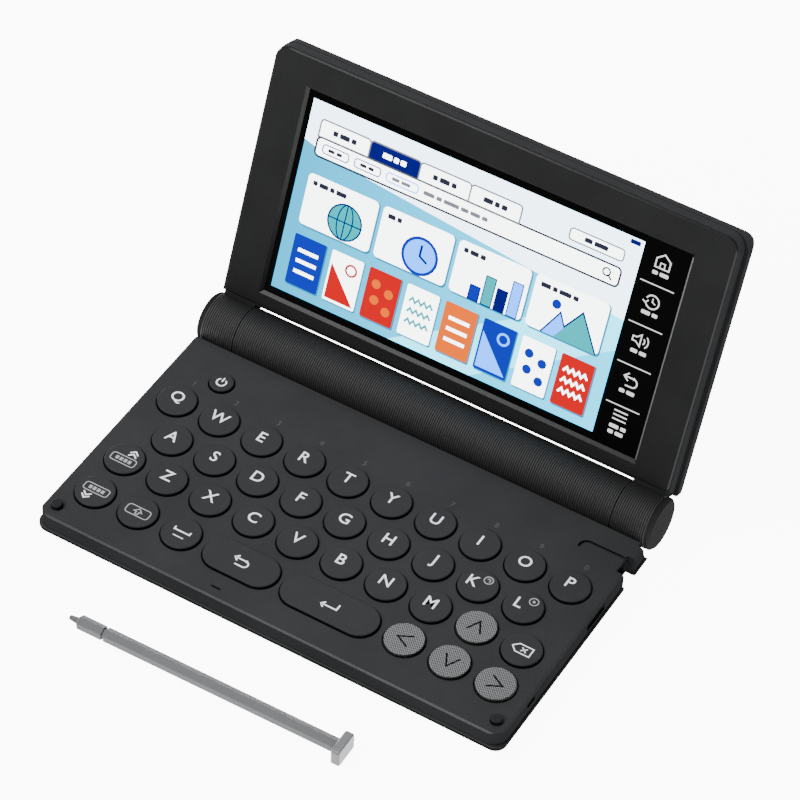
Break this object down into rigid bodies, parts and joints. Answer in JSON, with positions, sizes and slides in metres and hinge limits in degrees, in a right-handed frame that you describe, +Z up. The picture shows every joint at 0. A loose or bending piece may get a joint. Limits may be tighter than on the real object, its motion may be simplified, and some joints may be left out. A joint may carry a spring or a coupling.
{
  "type": "electronic dictionary",
  "caption": "Folding electronic dictionary: a thin keyboard base, a round battery barrel at the back, a tilting lid with a colour touch display, and a slim stylus.",
  "frame": {"origin": "bottom centre of the whole object at rest, on the surface it stands on, with the lid open and the stylus lying in front", "axes": "+X to the right of someone typing, +Y from the keyboard towards the lid, +Z up"},
  "size_m": [0.1342, 0.1402, 0.0807],
  "materials": {
    "case": "fine matte texture",
    "barrel": "fine ribs around the barrel",
    "key": "fine matte texture with pale legends",
    "arrow_key": "silver grey with a fine diagonal mesh",
    "rubber": "soft black",
    "sheet_rubber": "grey silicone",
    "board": "green solder mask",
    "steel": "plain",
    "speaker": "black basket",
    "jack": "moulded black",
    "cell": "printed jacket without lettering",
    "glass": "clear over a black surround",
    "display": null,
    "stylus": "satin grey",
    "stylus_head": "satin light grey"
  },
  "bodies": {
    "base": {"bottom_case": "case", "top_case": "case", "main_board": "board", "keypad_sheet": "sheet_rubber", "rubber_feet": "rubber", "lid_bumpers": "rubber", "case_screws": "steel", "speaker": "speaker", "earphone_jack": "jack", "usb_port": "steel", "barrel_tube": "barrel", "batteries": "cell", "battery_contacts": "steel"},
    "battery_door": {"battery_door": "barrel"},
    "lid": {"lid_back": "case", "lid_bezel": "case", "touch_panel": "glass", "lcd_module": "display", "hinge_knuckles": "barrel", "hinge_pins": "steel"},
    "stylus": {"stylus_shaft": "stylus", "stylus_head": "stylus_head"},
    "key_q": {"key_q": "key"},
    "key_w": {"key_w": "key"},
    "key_e": {"key_e": "key"},
    "key_r": {"key_r": "key"},
    "key_t": {"key_t": "key"},
    "key_y": {"key_y": "key"},
    "key_u": {"key_u": "key"},
    "key_i": {"key_i": "key"},
    "key_o": {"key_o": "key"},
    "key_p": {"key_p": "key"},
    "key_a": {"key_a": "key"},
    "key_s": {"key_s": "key"},
    "key_d": {"key_d": "key"},
    "key_f": {"key_f": "key"},
    "key_g": {"key_g": "key"},
    "key_h": {"key_h": "key"},
    "key_j": {"key_j": "key"},
    "key_k": {"key_k": "key"},
    "key_l": {"key_l": "key"},
    "key_z": {"key_z": "key"},
    "key_x": {"key_x": "key"},
    "key_c": {"key_c": "key"},
    "key_v": {"key_v": "key"},
    "key_b": {"key_b": "key"},
    "key_n": {"key_n": "key"},
    "key_m": {"key_m": "key"},
    "key_page_up": {"key_page_up": "key"},
    "key_page_down": {"key_page_down": "key"},
    "key_shift": {"key_shift": "key"},
    "key_space": {"key_space": "key"},
    "key_back": {"key_back": "key"},
    "key_enter": {"key_enter": "key"},
    "key_delete": {"key_delete": "key"},
    "key_power": {"key_power": "key"},
    "key_arrow_up": {"key_arrow_up": "arrow_key"},
    "key_arrow_left": {"key_arrow_left": "arrow_key"},
    "key_arrow_down": {"key_arrow_down": "arrow_key"},
    "key_arrow_right": {"key_arrow_right": "arrow_key"}
  },
  "joints": [
    {"name": "lid_hinge", "type": "hinge", "parent": "base", "child": "lid", "pos_m": [0, 0.03298, 0.0075], "axis": [1, 0, 0], "range_deg": [-28, 111.45]},
    {"name": "battery_door_slide", "type": "slide", "parent": "base", "child": "battery_door", "axis": [0, 0, -1], "range_m": [0, 0.012]},
    {"name": "stylus_lift", "type": "slide", "parent": "base", "child": "stylus", "axis": [0, 0, 1], "range_m": [0, 0.05]},
    {"name": "key_q_press", "type": "slide", "parent": "base", "child": "key_q", "axis": [0, 0, -1], "range_m": [0, 0.0006], "stiffness_N_per_m": 600, "springref_m": -0.0003},
    {"name": "key_w_press", "type": "slide", "parent": "base", "child": "key_w", "axis": [0, 0, -1], "range_m": [0, 0.0006], "stiffness_N_per_m": 600, "springref_m": -0.0003},
    {"name": "key_e_press", "type": "slide", "parent": "base", "child": "key_e", "axis": [0, 0, -1], "range_m": [0, 0.0006], "stiffness_N_per_m": 600, "springref_m": -0.0003},
    {"name": "key_r_press", "type": "slide", "parent": "base", "child": "key_r", "axis": [0, 0, -1], "range_m": [0, 0.0006], "stiffness_N_per_m": 600, "springref_m": -0.0003},
    {"name": "key_t_press", "type": "slide", "parent": "base", "child": "key_t", "axis": [0, 0, -1], "range_m": [0, 0.0006], "stiffness_N_per_m": 600, "springref_m": -0.0003},
    {"name": "key_y_press", "type": "slide", "parent": "base", "child": "key_y", "axis": [0, 0, -1], "range_m": [0, 0.0006], "stiffness_N_per_m": 600, "springref_m": -0.0003},
    {"name": "key_u_press", "type": "slide", "parent": "base", "child": "key_u", "axis": [0, 0, -1], "range_m": [0, 0.0006], "stiffness_N_per_m": 600, "springref_m": -0.0003},
    {"name": "key_i_press", "type": "slide", "parent": "base", "child": "key_i", "axis": [0, 0, -1], "range_m": [0, 0.0006], "stiffness_N_per_m": 600, "springref_m": -0.0003},
    {"name": "key_o_press", "type": "slide", "parent": "base", "child": "key_o", "axis": [0, 0, -1], "range_m": [0, 0.0006], "stiffness_N_per_m": 600, "springref_m": -0.0003},
    {"name": "key_p_press", "type": "slide", "parent": "base", "child": "key_p", "axis": [0, 0, -1], "range_m": [0, 0.0006], "stiffness_N_per_m": 600, "springref_m": -0.0003},
    {"name": "key_a_press", "type": "slide", "parent": "base", "child": "key_a", "axis": [0, 0, -1], "range_m": [0, 0.0006], "stiffness_N_per_m": 600, "springref_m": -0.0003},
    {"name": "key_s_press", "type": "slide", "parent": "base", "child": "key_s", "axis": [0, 0, -1], "range_m": [0, 0.0006], "stiffness_N_per_m": 600, "springref_m": -0.0003},
    {"name": "key_d_press", "type": "slide", "parent": "base", "child": "key_d", "axis": [0, 0, -1], "range_m": [0, 0.0006], "stiffness_N_per_m": 600, "springref_m": -0.0003},
    {"name": "key_f_press", "type": "slide", "parent": "base", "child": "key_f", "axis": [0, 0, -1], "range_m": [0, 0.0006], "stiffness_N_per_m": 600, "springref_m": -0.0003},
    {"name": "key_g_press", "type": "slide", "parent": "base", "child": "key_g", "axis": [0, 0, -1], "range_m": [0, 0.0006], "stiffness_N_per_m": 600, "springref_m": -0.0003},
    {"name": "key_h_press", "type": "slide", "parent": "base", "child": "key_h", "axis": [0, 0, -1], "range_m": [0, 0.0006], "stiffness_N_per_m": 600, "springref_m": -0.0003},
    {"name": "key_j_press", "type": "slide", "parent": "base", "child": "key_j", "axis": [0, 0, -1], "range_m": [0, 0.0006], "stiffness_N_per_m": 600, "springref_m": -0.0003},
    {"name": "key_k_press", "type": "slide", "parent": "base", "child": "key_k", "axis": [0, 0, -1], "range_m": [0, 0.0006], "stiffness_N_per_m": 600, "springref_m": -0.0003},
    {"name": "key_l_press", "type": "slide", "parent": "base", "child": "key_l", "axis": [0, 0, -1], "range_m": [0, 0.0006], "stiffness_N_per_m": 600, "springref_m": -0.0003},
    {"name": "key_z_press", "type": "slide", "parent": "base", "child": "key_z", "axis": [0, 0, -1], "range_m": [0, 0.0006], "stiffness_N_per_m": 600, "springref_m": -0.0003},
    {"name": "key_x_press", "type": "slide", "parent": "base", "child": "key_x", "axis": [0, 0, -1], "range_m": [0, 0.0006], "stiffness_N_per_m": 600, "springref_m": -0.0003},
    {"name": "key_c_press", "type": "slide", "parent": "base", "child": "key_c", "axis": [0, 0, -1], "range_m": [0, 0.0006], "stiffness_N_per_m": 600, "springref_m": -0.0003},
    {"name": "key_v_press", "type": "slide", "parent": "base", "child": "key_v", "axis": [0, 0, -1], "range_m": [0, 0.0006], "stiffness_N_per_m": 600, "springref_m": -0.0003},
    {"name": "key_b_press", "type": "slide", "parent": "base", "child": "key_b", "axis": [0, 0, -1], "range_m": [0, 0.0006], "stiffness_N_per_m": 600, "springref_m": -0.0003},
    {"name": "key_n_press", "type": "slide", "parent": "base", "child": "key_n", "axis": [0, 0, -1], "range_m": [0, 0.0006], "stiffness_N_per_m": 600, "springref_m": -0.0003},
    {"name": "key_m_press", "type": "slide", "parent": "base", "child": "key_m", "axis": [0, 0, -1], "range_m": [0, 0.0006], "stiffness_N_per_m": 600, "springref_m": -0.0003},
    {"name": "key_page_up_press", "type": "slide", "parent": "base", "child": "key_page_up", "axis": [0, 0, -1], "range_m": [0, 0.0006], "stiffness_N_per_m": 600, "springref_m": -0.0003},
    {"name": "key_page_down_press", "type": "slide", "parent": "base", "child": "key_page_down", "axis": [0, 0, -1], "range_m": [0, 0.0006], "stiffness_N_per_m": 600, "springref_m": -0.0003},
    {"name": "key_shift_press", "type": "slide", "parent": "base", "child": "key_shift", "axis": [0, 0, -1], "range_m": [0, 0.0006], "stiffness_N_per_m": 600, "springref_m": -0.0003},
    {"name": "key_space_press", "type": "slide", "parent": "base", "child": "key_space", "axis": [0, 0, -1], "range_m": [0, 0.0006], "stiffness_N_per_m": 600, "springref_m": -0.0003},
    {"name": "key_back_press", "type": "slide", "parent": "base", "child": "key_back", "axis": [0, 0, -1], "range_m": [0, 0.0006], "stiffness_N_per_m": 600, "springref_m": -0.0003},
    {"name": "key_enter_press", "type": "slide", "parent": "base", "child": "key_enter", "axis": [0, 0, -1], "range_m": [0, 0.0006], "stiffness_N_per_m": 600, "springref_m": -0.0003},
    {"name": "key_delete_press", "type": "slide", "parent": "base", "child": "key_delete", "axis": [0, 0, -1], "range_m": [0, 0.0006], "stiffness_N_per_m": 600, "springref_m": -0.0003},
    {"name": "key_power_press", "type": "slide", "parent": "base", "child": "key_power", "axis": [0, 0, -1], "range_m": [0, 0.0006], "stiffness_N_per_m": 600, "springref_m": -0.0003},
    {"name": "key_arrow_up_press", "type": "slide", "parent": "base", "child": "key_arrow_up", "axis": [0, 0, -1], "range_m": [0, 0.0006], "stiffness_N_per_m": 600, "springref_m": -0.0003},
    {"name": "key_arrow_left_press", "type": "slide", "parent": "base", "child": "key_arrow_left", "axis": [0, 0, -1], "range_m": [0, 0.0006], "stiffness_N_per_m": 600, "springref_m": -0.0003},
    {"name": "key_arrow_down_press", "type": "slide", "parent": "base", "child": "key_arrow_down", "axis": [0, 0, -1], "range_m": [0, 0.0006], "stiffness_N_per_m": 600, "springref_m": -0.0003},
    {"name": "key_arrow_right_press", "type": "slide", "parent": "base", "child": "key_arrow_right", "axis": [0, 0, -1], "range_m": [0, 0.0006], "stiffness_N_per_m": 600, "springref_m": -0.0003}
  ]
}
